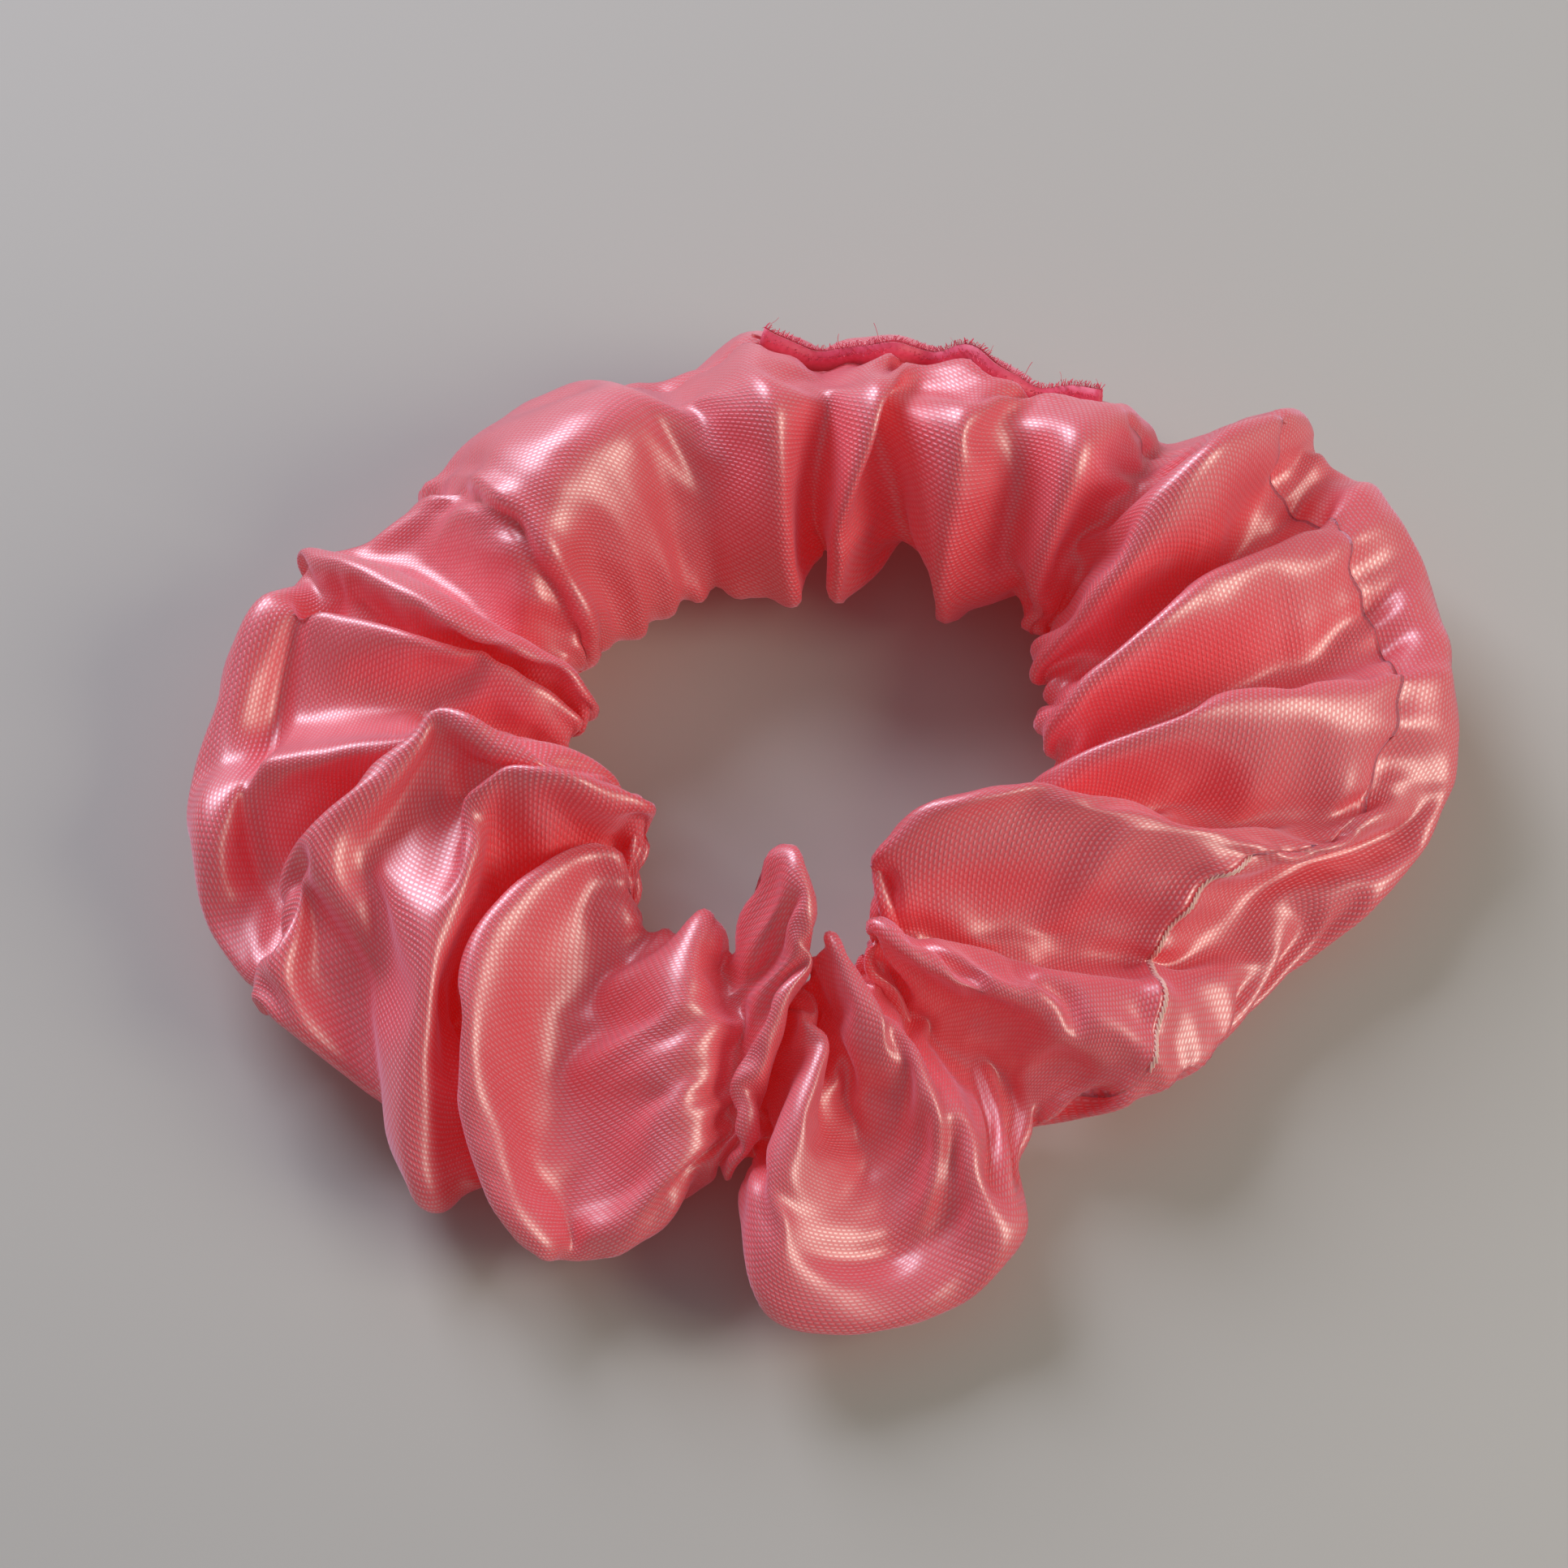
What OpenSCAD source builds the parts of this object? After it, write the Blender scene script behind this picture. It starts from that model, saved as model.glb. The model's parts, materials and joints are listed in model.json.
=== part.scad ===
/* [Opening] */
// Radius of the opening that the hair goes through, with the elastic relaxed
opening_r = 21; // [18:0.5:23]
// Height of the straight band of cloth that the elastic presses outwards
band_height = 9; // [7:0.5:10]
// Height of the middle of that band over the table
band_mid_z = 10.5; // [10:0.5:12]
// Centre of the opening from the middle of the scrunchie, to the right
opening_x = -1.25; // [-4:0.1:4]
// Centre of the opening from the middle of the scrunchie, to the back
opening_y = 4.4; // [-8:0.1:8]

/* [Satin cover] */
// How far the smallest gather stands out from the centre of the opening
least_reach = 41.5; // [38:0.5:44]
// Height of the tallest gather over the table
crown_height = 26; // [24:0.5:30]
// Wall thickness of the cover, two plies and the air between them
cloth_wall = 0.5; // [0.4:0.1:0.8]
// How much narrower and lower a gather is where it meets the next one
pinch = 0.88; // [0.8:0.01:0.95]
// Angle left free at each end of a gather
end_gap = 0.45; // [0.4:0.05:0.8]

/* [Elastic] */
// Width of the flat braided elastic
elastic_w = 6; // [4:0.5:8]
// Thickness of the elastic
elastic_t = 0.9; // [0.6:0.1:1.2]
// Radius of the inside of the relaxed elastic loop
elastic_r = 22.3; // [22:0.1:24]
// Length over which the two ends of the elastic lie on each other
elastic_lap = 14; // [8:1:20]

/* [Sewing] */
// Thickness of the sewing thread
thread_d = 0.5; // [0.3:0.1:0.6]
// Radius of the lengthwise seam inside the cover
seam_r = 32; // [30:1:34]
// Height of the frayed raw edge over the cloth that it is sewn to
fray_height = 3; // [2:0.5:4]
// Length of a stitch in the hand-closed gap
stitch_length = 1.6; // [1:0.1:2.5]
// Distance from one stitch to the next
stitch_pitch = 2.4; // [2:0.1:4]

/* [Hidden] */
$fn = 48;
SATIN = "#d6606b";
SATIN_DEEP = "#b93a45";
THREAD = "#e58f98";
ELASTIC = "#f2efe9";

// Angles at which one gather ends and the next one starts, clockwise from the closing seam
EDGES = [143, 108, 88, 70, 52, 20, -5, -32, -65, -100, -115, -137, -160, -185, -200, -217];
// Reach of each gather from the centre of the opening, over that of the smallest one
EXTRA_REACH = [0, 0, 0.5, 0.5, 18.5, 16.5, 11, 1, 9, 1, 10, 14, 14, 13, 9];
// Height of each gather, as a share of the tallest one
SHARE_OF_CROWN = [0.92, 1, 1, 1, 0.96, 0.88, 0.84, 0.8, 0.76, 0.88, 0.8, 0.78, 0.84, 0.86, 0.86];
// The gathers that the frayed edge of the hand-closed gap crosses
FRAY_GATHERS = [2, 3, 4];

WAIST_Z = 10;
LOWER_DEPTH = WAIST_Z + 2;
ROOT_R = opening_r - 2;
HOOP_STEPS = 28;
FLARE = 7;
SLICE = 0.02;
LAP_ANGLE = -190;
END_WALL = 0.8;
PASSAGE_FLOOR = 0.8;
PASSAGE_SPARE = 1.5;
FRAY_R = 34;
FRAY_LEAN = 1.2;
FRAY_SINK = 1.2;
FRAY_SHARE = 0.62;
SEAM_Z = 1.4;
SEAM_HOOP_INSET = 0.2;
SEAM_HOOP_CLEAR = 2;

GATHER_COUNT = len(EXTRA_REACH);
function pad2(k) = str(k < 10 ? "0" : "", k);

function start_angle(k) = EDGES[k - 1];
function end_angle(k) = EDGES[k];
function middle_angle(k) = (start_angle(k) + end_angle(k)) / 2;
function reach(k) = least_reach + EXTRA_REACH[k - 1];
function crown(k) = crown_height * SHARE_OF_CROWN[k - 1];

// Outline of a gather cut across: a crown over a waist, and a belly that lies flat on the table
function hoop(out_r, top, inset) =
    let (middle = (ROOT_R + out_r) / 2, half = (out_r - ROOT_R) / 2 - inset)
    [for (i = [0:HOOP_STEPS - 1])
        let (a = 360 * i / HOOP_STEPS, rise = a < 180 ? top - WAIST_Z - inset : LOWER_DEPTH)
        [middle + half * cos(a), max(inset, WAIST_Z + rise * sin(a))]];

module at_opening() {
    translate([opening_x, opening_y, 0]) children();
}

// A thin upright slice of a gather, standing at an angle round the opening
module slice(angle, out_r, top, inset) {
    rotate([0, 0, angle])
        rotate([90, 0, 0])
            linear_extrude(SLICE, center = true)
                polygon(hoop(out_r, top, inset));
}

// The puffed body of one gather between two angles, drawn in by inset all round
module puff(k, inset, overrun) {
    spread = (start_angle(k) - end_angle(k)) / 4.5;
    hull() {
        slice(start_angle(k) - end_gap + overrun, reach(k) * pinch, crown(k) * pinch, inset);
        slice(middle_angle(k) + spread, reach(k), crown(k), inset);
        slice(middle_angle(k) - spread, reach(k), crown(k), inset);
        slice(end_angle(k) + end_gap - overrun, reach(k) * pinch, crown(k) * pinch, inset);
    }
}

// What the opening takes away: a straight band at its waist, flared above and below
module spool(grow) {
    low = band_mid_z - band_height / 2;
    high = band_mid_z + band_height / 2;
    r = opening_r + grow;
    rotate_extrude($fn = 96)
        polygon([
            [0, -1], [r + FLARE, -1], [r, low], [r, high],
            [r + FLARE * 1.6, high + FLARE * 1.8], [0, high + FLARE * 1.8]
        ]);
}

// The hollow of a gather, with a way through its end walls for the elastic and the seam thread
module cavity(k) {
    difference() {
        union() {
            puff(k, cloth_wall, -END_WALL);
            passage();
        }
        spool(cloth_wall);
    }
}

module passage() {
    width = seam_r + PASSAGE_SPARE - opening_r - cloth_wall;
    rotate_extrude($fn = 96)
        translate([opening_r + cloth_wall, PASSAGE_FLOOR])
            square([width, band_mid_z + elastic_w / 2]);
}

module gather(k) {
    color(SATIN)
        at_opening()
            difference() {
                puff(k, 0, 0);
                spool(0);
                cavity(k);
            }
}

// The raw edge of both plies, left standing where the turning gap is sewn shut
module frayed_edge(k) {
    base = fray_base(k);
    top = base + FRAY_SINK + fray_height;
    color(THREAD)
        at_opening()
            rotate([0, 0, middle_angle(k) - fray_sweep(k) / 2])
                rotate_extrude(angle = fray_sweep(k))
                    polygon([
                        [FRAY_R, base], [FRAY_R + thread_d, base],
                        [FRAY_R + FRAY_LEAN + thread_d, top],
                        [FRAY_R + FRAY_LEAN, top]
                    ]);
}

function fray_sweep(k) = (start_angle(k) - end_angle(k)) * FRAY_SHARE;

// Height of the cloth under the frayed edge, less the depth to which the edge is sewn in
function fray_base(k) =
    let (middle = (ROOT_R + reach(k)) / 2, half = (reach(k) - ROOT_R) / 2)
    WAIST_Z + (crown(k) - WAIST_Z) * sin(acos((FRAY_R - middle) / half)) - FRAY_SINK;

// Running stitches along the foot of the frayed edge
module gap_stitches(k) {
    step = stitch_pitch / FRAY_R * 180 / PI;
    first = middle_angle(k) - fray_sweep(k) / 2 + 1;
    last = middle_angle(k) + fray_sweep(k) / 2 - 3;
    z = fray_base(k) + FRAY_SINK + fray_height / 3;
    r = FRAY_R + FRAY_LEAN / 2;
    color(SATIN_DEEP)
        at_opening()
            for (a = [first:step:last])
                rotate([0, 0, a])
                    translate([r, 0, z])
                        rotate([-90, 0, 0])
                            cylinder(d = thread_d, h = stitch_length, $fn = 16);
}

module elastic_band() {
    lap_sweep = elastic_lap / elastic_r * 180 / PI;
    low = band_mid_z - elastic_w / 2;
    color(ELASTIC)
        at_opening() {
            translate([0, 0, low])
                difference() {
                    cylinder(r = elastic_r + elastic_t, h = elastic_w);
                    translate([0, 0, -1])
                        cylinder(r = elastic_r, h = elastic_w + 2);
                }
            rotate([0, 0, LAP_ANGLE])
                rotate_extrude(angle = lap_sweep)
                    translate([elastic_r + elastic_t - 0.05, low])
                        square([elastic_t, elastic_w]);
        }
}

// Three rows of thread that join the lapped ends of the elastic
module elastic_bar_tack() {
    depth = 2 * elastic_t + 0.3;
    height = elastic_w - 2;
    color(THREAD)
        at_opening()
            for (i = [1:3])
                rotate([0, 0, LAP_ANGLE + i * 9])
                    translate([elastic_r - 0.15, -thread_d / 2, band_mid_z - height / 2])
                        cube([depth, thread_d, height]);
}

module lengthwise_seam_thread() {
    color(THREAD)
        at_opening()
            rotate_extrude()
                translate([seam_r, SEAM_Z])
                    circle(d = thread_d, $fn = 16);
}

// The thread that sews the two ends of the tube together, a hoop just inside the cover
module closing_seam_thread() {
    k = GATHER_COUNT;
    edge = end_angle(k) + end_gap;
    color(THREAD)
        at_opening()
            intersection() {
                difference() {
                    puff(k, SEAM_HOOP_INSET, 0);
                    spool(SEAM_HOOP_CLEAR);
                    puff(k, SEAM_HOOP_INSET + 0.7, 1);
                }
                rotate([0, 0, edge + end_gap])
                    translate([opening_r, 0, -1])
                        cube([2 * least_reach, thread_d, 2 * crown_height]);
            }
}

for (k = [1:GATHER_COUNT])
    gather(k);
for (k = FRAY_GATHERS)
    frayed_edge(k);
for (k = FRAY_GATHERS)
    gap_stitches(k);
elastic_band();
elastic_bar_tack();
lengthwise_seam_thread();
closing_seam_thread();
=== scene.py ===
"""A satin scrunchie: a gathered cover on a braided elastic, with its seams, stitches and frayed edge."""
import json
import logging
import math
from dataclasses import dataclass, field
from enum import Enum
from typing import Any

import bpy
import numpy as np
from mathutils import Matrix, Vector
from mathutils.bvhtree import BVHTree


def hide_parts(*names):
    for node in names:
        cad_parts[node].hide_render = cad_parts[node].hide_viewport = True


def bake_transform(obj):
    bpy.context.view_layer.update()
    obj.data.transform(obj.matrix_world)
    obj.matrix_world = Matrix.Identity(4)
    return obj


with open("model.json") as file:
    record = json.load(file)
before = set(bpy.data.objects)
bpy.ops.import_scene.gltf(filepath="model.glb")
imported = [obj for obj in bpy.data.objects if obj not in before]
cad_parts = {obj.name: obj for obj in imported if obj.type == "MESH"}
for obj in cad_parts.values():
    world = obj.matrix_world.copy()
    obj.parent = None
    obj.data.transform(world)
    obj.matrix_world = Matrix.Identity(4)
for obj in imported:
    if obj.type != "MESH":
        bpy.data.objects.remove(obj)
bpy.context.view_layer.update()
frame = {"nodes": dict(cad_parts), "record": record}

logging.basicConfig(level=logging.INFO, format="%(message)s")
log = logging.getLogger("scrunchie")

MM = 0.001
TAU = 2 * math.pi
Triple = tuple[float, float, float]


def opening_centre() -> np.ndarray:
    """Finds the middle of the opening, on the table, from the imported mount.

    Returns:
        The point in millimetres, with no height.
    """
    mount = next(m for m in frame["record"]["mounts"] if m["name"] == "hair_opening")
    x, y, _ = mount["pos_m"]
    return np.array([x / MM, y / MM, 0.0])


def placed(name: str, data: Any) -> bpy.types.Object:
    """Makes an object from its data and puts it in the scene."""
    made = bpy.data.objects.new(name, data)
    bpy.context.scene.collection.objects.link(made)
    return made


def square_table(name: str, half: float) -> bpy.types.Object:
    """Makes a flat square table top at height 0, from half its side."""
    mesh = bpy.data.meshes.new(name)
    corners = [(-half, -half, 0), (half, -half, 0), (half, half, 0), (-half, half, 0)]
    mesh.from_pydata(corners, [], [(0, 1, 2, 3)])
    return placed(name, mesh)


# ---------------------------------------------------------------- folds of the cover


class Line(Enum):
    """What a line across the cover is: the top of a fold, or the crease between two folds."""

    RIDGE = "ridge"
    CREASE = "crease"


@dataclass(frozen=True)
class Fold:
    """One line across the gathered cover, from the opening over the crown to the outer rim.

    Each of its three points is an angle round the opening in degrees, a reach from its centre
    and a height over the table, both in millimetres.
    """

    name: str
    line: Line
    inner: Triple
    crown: Triple
    outer: Triple


R, C = Line.RIDGE, Line.CREASE
FOLDS = (
    Fold("closing_seam", C, (150, 24, 7), (144, 33, 20), (140, 46, 10)),
    Fold("back_left_panel", R, (130, 23, 7), (124, 33, 23), (121, 47, 9)),
    Fold("back_left_crease", C, (111, 23, 7), (108, 32, 20), (106, 45, 9)),
    Fold("back_1", R, (96, 20, 8), (97, 30, 25), (96, 47, 9)),
    Fold("back_1_2", C, (89, 26, 7), (89, 33, 21), (88, 46, 9)),
    Fold("back_2", R, (83, 20, 8), (80, 30, 25), (80, 47, 9)),
    Fold("back_2_3", C, (75, 27, 7), (77, 34, 22), (74, 46, 9)),
    Fold("back_3", R, (56, 22, 7), (62, 31, 25), (66, 47, 9)),
    Fold("back_3_4", C, (50, 28, 7), (57, 35, 21), (58, 47, 9)),
    Fold("back_4", R, (42, 25, 7), (47, 35, 23), (54, 49, 10)),
    Fold("back_right_crease", C, (38, 27, 7), (42, 37, 16), (49, 50, 9)),
    Fold("right_top", R, (30, 24, 9), (34, 41, 25), (39, 56, 12)),
    Fold("right_top_crease", C, (20, 23, 7), (25, 38, 12), (33, 57, 11)),
    Fold("right_upper", R, (9, 21, 11), (18, 35, 21), (26, 58, 12)),
    Fold("right_upper_crease", C, (-2, 22, 8), (8, 33, 11), (17, 58, 11)),
    Fold("right_middle", R, (-12, 20, 13), (2, 36, 20), (8, 57, 10)),
    Fold("right_middle_crease", C, (-23, 21, 8), (-13, 29, 11), (-3, 55, 9)),
    Fold("right_roll", R, (-68, 15, 16), (-28, 21, 22), (-15, 52, 9)),
    Fold("right_roll_crease", C, (-75, 19, 10), (-38, 27, 10), (-27, 47, 7)),
    Fold("fan", R, (-77, 19, 16), (-55, 31, 16), (-50, 44, 7)),
    Fold("fan_crease", C, (-81, 20, 9), (-65, 28, 7), (-59, 38, 4)),
    Fold("front_right_lip", R, (-85, 18, 17), (-75, 32, 17), (-69, 48, 7)),
    Fold("front_hollow", R, (-89, 20, 10), (-84, 35, 9), (-84, 52, 6)),
    Fold("front_left_lip", R, (-93, 19, 13), (-92, 34, 15), (-96, 50, 7)),
    Fold("front_crease", C, (-97, 20, 9), (-97, 27, 9), (-99, 36, 5)),
    Fold("peak", R, (-103, 13, 18), (-98, 22, 20), (-101, 38, 8)),
    Fold("peak_crease", C, (-111, 20, 10), (-103, 27, 12), (-103, 38, 7)),
    Fold("scoop_tip", R, (-117, 19, 13), (-111, 30, 15), (-106, 42, 8)),
    Fold("scoop_hollow", R, (-129, 21, 9), (-126, 34, 9), (-114, 48, 6)),
    Fold("scoop_lip", R, (-141, 20, 14), (-141, 35, 18), (-122, 50, 7)),
    Fold("scoop_crease", C, (-144, 20, 10), (-147, 35, 8), (-128, 45, 5)),
    Fold("left_crest_2", R, (-147, 16, 15), (-158, 26, 24), (-133, 50, 7)),
    Fold("left_crest_fold", R, (-153, 18, 14), (-163, 31, 19), (-142, 47, 6)),
    Fold("left_crest_1", R, (-159, 18, 14), (-172, 29, 25), (-155, 52, 9)),
    Fold("left_tuck_crease", C, (-170, 21, 8), (-176, 36, 10), (-159, 52, 6)),
    Fold("left_skirt", R, (-178, 20, 10), (-178, 38, 17), (-172, 54, 9)),
    Fold("left_skirt_crease", C, (176, 23, 8), (172, 36, 12), (172, 53, 10)),
    Fold("left_top_2", R, (172, 22, 11), (166, 36, 18), (164, 52, 12)),
    Fold("left_top_crease", C, (169, 23, 8), (167, 33, 12), (158, 50, 11)),
    Fold("left_top_1", R, (165, 21, 11), (163, 34, 20), (155, 50, 12)),
    Fold("left_seam_crease", C, (158, 24, 7), (155, 33, 13), (148, 47, 10)),
)

# Where the lengthwise seam lies on the way round the tube, by the angle round the opening: 0 is
# the side of the opening, about a quarter is the crown, half is the outer rim.
SEAM_LINE = (
    (143, 0.62), (120, 0.50), (100, 0.37), (60, 0.36), (45, 0.38), (30, 0.40), (0, 0.41),
    (-27, 0.38), (-37, 0.31), (-56, 0.46), (-65, 0.58), (-80, 0.66), (-150, 0.72), (-200, 0.70),
    (-217, 0.62),
)


def catmull(p: tuple[np.ndarray, ...], before: Any, step: Any, after: Any, t: np.ndarray) -> np.ndarray:
    """Blends four neighbouring values with a spline whose knots are unevenly spaced.

    Args:
        p: the four values, the second and third being the ends of the stretch.
        before: distance between the first two knots.
        step: distance between the middle two.
        after: distance between the last two.
        t: how far along the middle stretch, from 0 to 1.

    Returns:
        The value at t.
    """
    rise_1 = ((p[1] - p[0]) / before * step + (p[2] - p[1]) / step * before) / (before + step)
    rise_2 = ((p[2] - p[1]) / step * after + (p[3] - p[2]) / after * step) / (step + after)
    t2, t3 = t * t, t * t * t
    ends = (2 * t3 - 3 * t2 + 1) * p[1] + (3 * t2 - 2 * t3) * p[2]
    return ends + step * ((t3 - 2 * t2 + t) * rise_1 + (t3 - t2) * rise_2)


def finer(net: np.ndarray, times: int, axis: int) -> np.ndarray:
    """Resamples a closed net along one axis with a smooth cubic spline.

    Args:
        net: points in rows and columns.
        times: how many new steps take the place of each old one.
        axis: 0 for round the opening, 1 for round the tube.

    Returns:
        The finer net.
    """
    before, here, after, later = (np.roll(net, -k, axis) for k in (-1, 0, 1, 2))
    parts = []
    for k in range(times):
        t = k / times
        parts.append(
            ((1 - t) ** 3 * before + (3 * t**3 - 6 * t**2 + 4) * here
             + (3 * t * (1 + t - t * t) + 1) * after + t**3 * later) / 6
        )
    shape = list(net.shape)
    shape[axis] *= times
    return np.stack(parts, axis + 1).reshape(shape)


def normals_of(net: np.ndarray) -> np.ndarray:
    """Works out the outward normal at each point of a closed tube's net."""
    round_opening = np.roll(net, -1, 0) - np.roll(net, 1, 0)
    round_tube = np.roll(net, -1, 1) - np.roll(net, 1, 1)
    normal = np.cross(round_opening, round_tube)
    normal /= np.linalg.norm(normal, axis=-1, keepdims=True) + 1e-9
    outward = (normal * (net - net.mean(1, keepdims=True))).sum()
    return normal * np.sign(outward)


def wandering(count: int, wobble: float, rng: np.random.RandomState) -> np.ndarray:
    """Makes a slowly wandering phase that ends where it began."""
    walk = np.cumsum(rng.normal(0, wobble, count))
    return walk - np.linspace(0, walk[-1], count)


def bump(distance: np.ndarray, width: float) -> np.ndarray:
    """Gives a smooth bump, 1 high, at distance 0."""
    return np.exp(-((distance / width) ** 2))


@dataclass(frozen=True)
class CrossCrease:
    """A crease or a ridge that runs along the strip, from one fold to another.

    Its places are shares of the way round the tube, as for the lengthwise seam, its depth and
    its width are in millimetres, and a ridge has a depth under 0.
    """

    first: str
    last: str
    start: float
    end: float
    depth: float
    width: float


CROSS_CREASES = (
    CrossCrease("left_tuck_crease", "left_top_1", 0.40, 0.40, 1.3, 1.3),
    CrossCrease("left_tuck_crease", "left_top_1", 0.45, 0.45, -0.8, 1.8),
    CrossCrease("right_roll", "right_roll_crease", 0.27, 0.22, -1.0, 2.0),
    CrossCrease("right_top", "right_middle_crease", 0.45, 0.45, -0.5, 2.2),
    CrossCrease("front_right_lip", "front_left_lip", 0.40, 0.40, 1.0, 1.6),
)


@dataclass
class SatinCover:
    """The strip of satin, sewn into a tube and gathered on the elastic."""

    strip_width: float = 88.0
    strip_length: float = 360.0
    steps_round: int = 200
    steps_across: int = 48
    finer_round: int = 3
    finer_across: int = 3
    seam_allowance: int = 7
    cloth_apart: float = 0.28
    crispness: float = 0.55
    lowest: float = 0.35
    growth: float = 0.10
    calm_growth: float = 0.03
    pucker: float = 0.42
    pucker_pitch: float = 4.2
    pucker_reach: float = 3.6
    gather_pitch: float = 4.6
    furrow: float = 0.5
    ridge: float = 0.8
    frames: int = 24
    net: np.ndarray = field(default=None, repr=False)
    normals: np.ndarray = field(default=None, repr=False)

    def __post_init__(self) -> None:
        """Spaces the folds along the strip and settles the phases of the small gathers."""
        table = np.array([[*f.inner, *f.crown, *f.outer] for f in FOLDS]).reshape(-1, 3, 3)
        self.angle = np.degrees(np.unwrap(np.radians(table[:, :, 0]), axis=0))
        self.reach, self.height = table[:, :, 1], table[:, :, 2]
        flat = np.radians(self.angle)
        spots = np.stack([self.reach * np.cos(flat), self.reach * np.sin(flat), self.height], -1)
        gaps = np.linalg.norm(np.roll(spots, -1, 0) - spots, axis=-1)[:, 1:].max(1)
        gaps = np.maximum(gaps, 5.0)
        self.share = gaps / gaps.sum() * self.strip_length
        self.starts = np.concatenate([[0], np.cumsum(self.share)])[:-1]
        self.rng = np.random.RandomState(3)
        self.centre = opening_centre()

    # ------------------------------------------------------------ shape of the gathers

    def along(self, name: str) -> float:
        """Gives a fold's place along the strip, in millimetres."""
        return self.starts[[f.name for f in FOLDS].index(name)]

    def around(self, values: np.ndarray, turn: float = 0.0) -> np.ndarray:
        """Carries a value of the folds smoothly along the strip.

        Args:
            values: one value for each fold.
            turn: how much the value changes over one whole round.

        Returns:
            The value at each step along the strip.
        """
        count = len(values)
        place = np.arange(self.steps_round) * self.strip_length / self.steps_round
        k = np.searchsorted(self.starts, place, side="right") - 1
        t = (place - self.starts[k]) / self.share[k]
        four = tuple(values[(k + n) % count] + turn * ((k + n) // count) for n in (-1, 0, 1, 2))
        return catmull(four, self.share[k - 1], self.share[k], self.share[(k + 1) % count], t)

    def seam_place(self) -> np.ndarray:
        """Gives the place of the lengthwise seam round the tube, at each step along the strip."""
        angles, places = zip(*reversed(SEAM_LINE))
        crown = self.around(self.angle[:, 1], -360.0)
        seam = np.interp(crown, angles, places)
        for _ in range(12):
            seam = (np.roll(seam, 1) + seam + np.roll(seam, -1)) / 3
        return seam

    def draw_gathers(self) -> np.ndarray:
        """Draws the gathered tube from the folds.

        Returns:
            Points in millimetres from the centre of the opening, a row for each step along the
            strip, each row starting at the lengthwise seam.
        """
        angle = np.stack([self.around(self.angle[:, c], -360.0) for c in range(3)], -1)
        reach = np.stack([self.around(self.reach[:, c]) for c in range(3)], -1)
        height = np.stack([self.around(self.height[:, c]) for c in range(3)], -1)
        belly_reach = (reach[:, 0] + reach[:, 2]) / 2 + 1
        belly_height = np.full(self.steps_round, 0.9)
        belly = np.stack([belly_reach, belly_height, (angle[:, 0] + angle[:, 2]) / 2], -1)
        corner = [np.stack([reach[:, c], height[:, c], angle[:, c]], -1) for c in range(3)] + [belly]
        knots = np.array([0, 0.27, 0.52, 0.77, 1.0])
        fine = 400
        s = np.arange(fine) / fine
        piece = np.searchsorted(knots, s, side="right") - 1
        steps = np.diff(knots)
        net = np.zeros((self.steps_round, self.steps_across, 3))
        corner_of = np.stack(corner, 1)
        seam = self.seam_place()
        for i in range(self.steps_round):
            four = tuple(corner_of[i][(piece + n) % 4] for n in (-1, 0, 1, 2))
            gap = [steps[(piece + n) % 4][:, None] for n in (-1, 0, 1)]
            t = ((s - knots[piece]) / steps[piece])[:, None]
            line = catmull(four, gap[0], gap[1], gap[2], t)
            turn = np.radians(line[:, 2])
            points = np.stack(
                [line[:, 0] * np.cos(turn), line[:, 0] * np.sin(turn), np.maximum(line[:, 1], 0.7)], -1
            )
            net[i] = self.even_steps(points, seam[i])
        return net

    def even_steps(self, points: np.ndarray, first: float) -> np.ndarray:
        """Spaces points evenly round one cross-section.

        Args:
            points: the cross-section, from the side of the opening over the crown.
            first: where the first new point goes, as a share of the way round.

        Returns:
            One point for each step across the strip.
        """
        closed = np.vstack([points, points[:1]])
        walked = np.concatenate([[0], np.cumsum(np.linalg.norm(np.diff(closed, axis=0), axis=1))])
        outer = walked[int(0.52 * len(points))]
        place = (first + np.arange(self.steps_across) / self.steps_across) % 1.0
        distance = np.where(
            place < 0.5, place * 2 * outer, outer + (place - 0.5) * 2 * (walked[-1] - outer)
        )
        return np.stack([np.interp(distance, walked, closed[:, k]) for k in range(3)], -1)

    def small_gathers(self, net: np.ndarray, spacing: float, share: float) -> np.ndarray:
        """Adds the small gathers that take up the cloth where the elastic draws it in.

        Args:
            net: the tube drawn from the folds.
            spacing: length of strip from one small gather to the next, in millimetres.
            share: how much of the spare cloth they take up.

        Returns:
            The net with the small gathers.
        """
        step = np.linalg.norm(np.roll(net, -1, 0) - np.roll(net, 1, 0), axis=-1) / 2
        drawn = step / (self.strip_length / self.steps_round)
        normal = normals_of(net)
        for _ in range(6):
            drawn = (drawn + sum(np.roll(drawn, k, a) for k in (1, -1) for a in (0, 1))) / 5
            normal = (normal + sum(np.roll(normal, k, a) for k in (1, -1) for a in (0, 1))) / 5
        waves = round(self.strip_length / spacing)
        phase = TAU * waves * np.arange(self.steps_round) / self.steps_round
        phase = phase + 0.9 * wandering(self.steps_round, 0.35, self.rng)
        slant = 1.2 * np.sin(TAU * np.arange(self.steps_across) / self.steps_across)
        spare = np.sqrt(np.clip(2 * (1 - np.clip(drawn, 0, 1) ** 2), 0, 2))
        wave = np.sin(phase[:, None] + slant[None, :]) * spare * spacing / TAU * share
        net = net + normal * wave[..., None]
        net[..., 2] = np.maximum(net[..., 2], 0.7)
        return net

    # ------------------------------------------------------------ settling of the cloth

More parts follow.
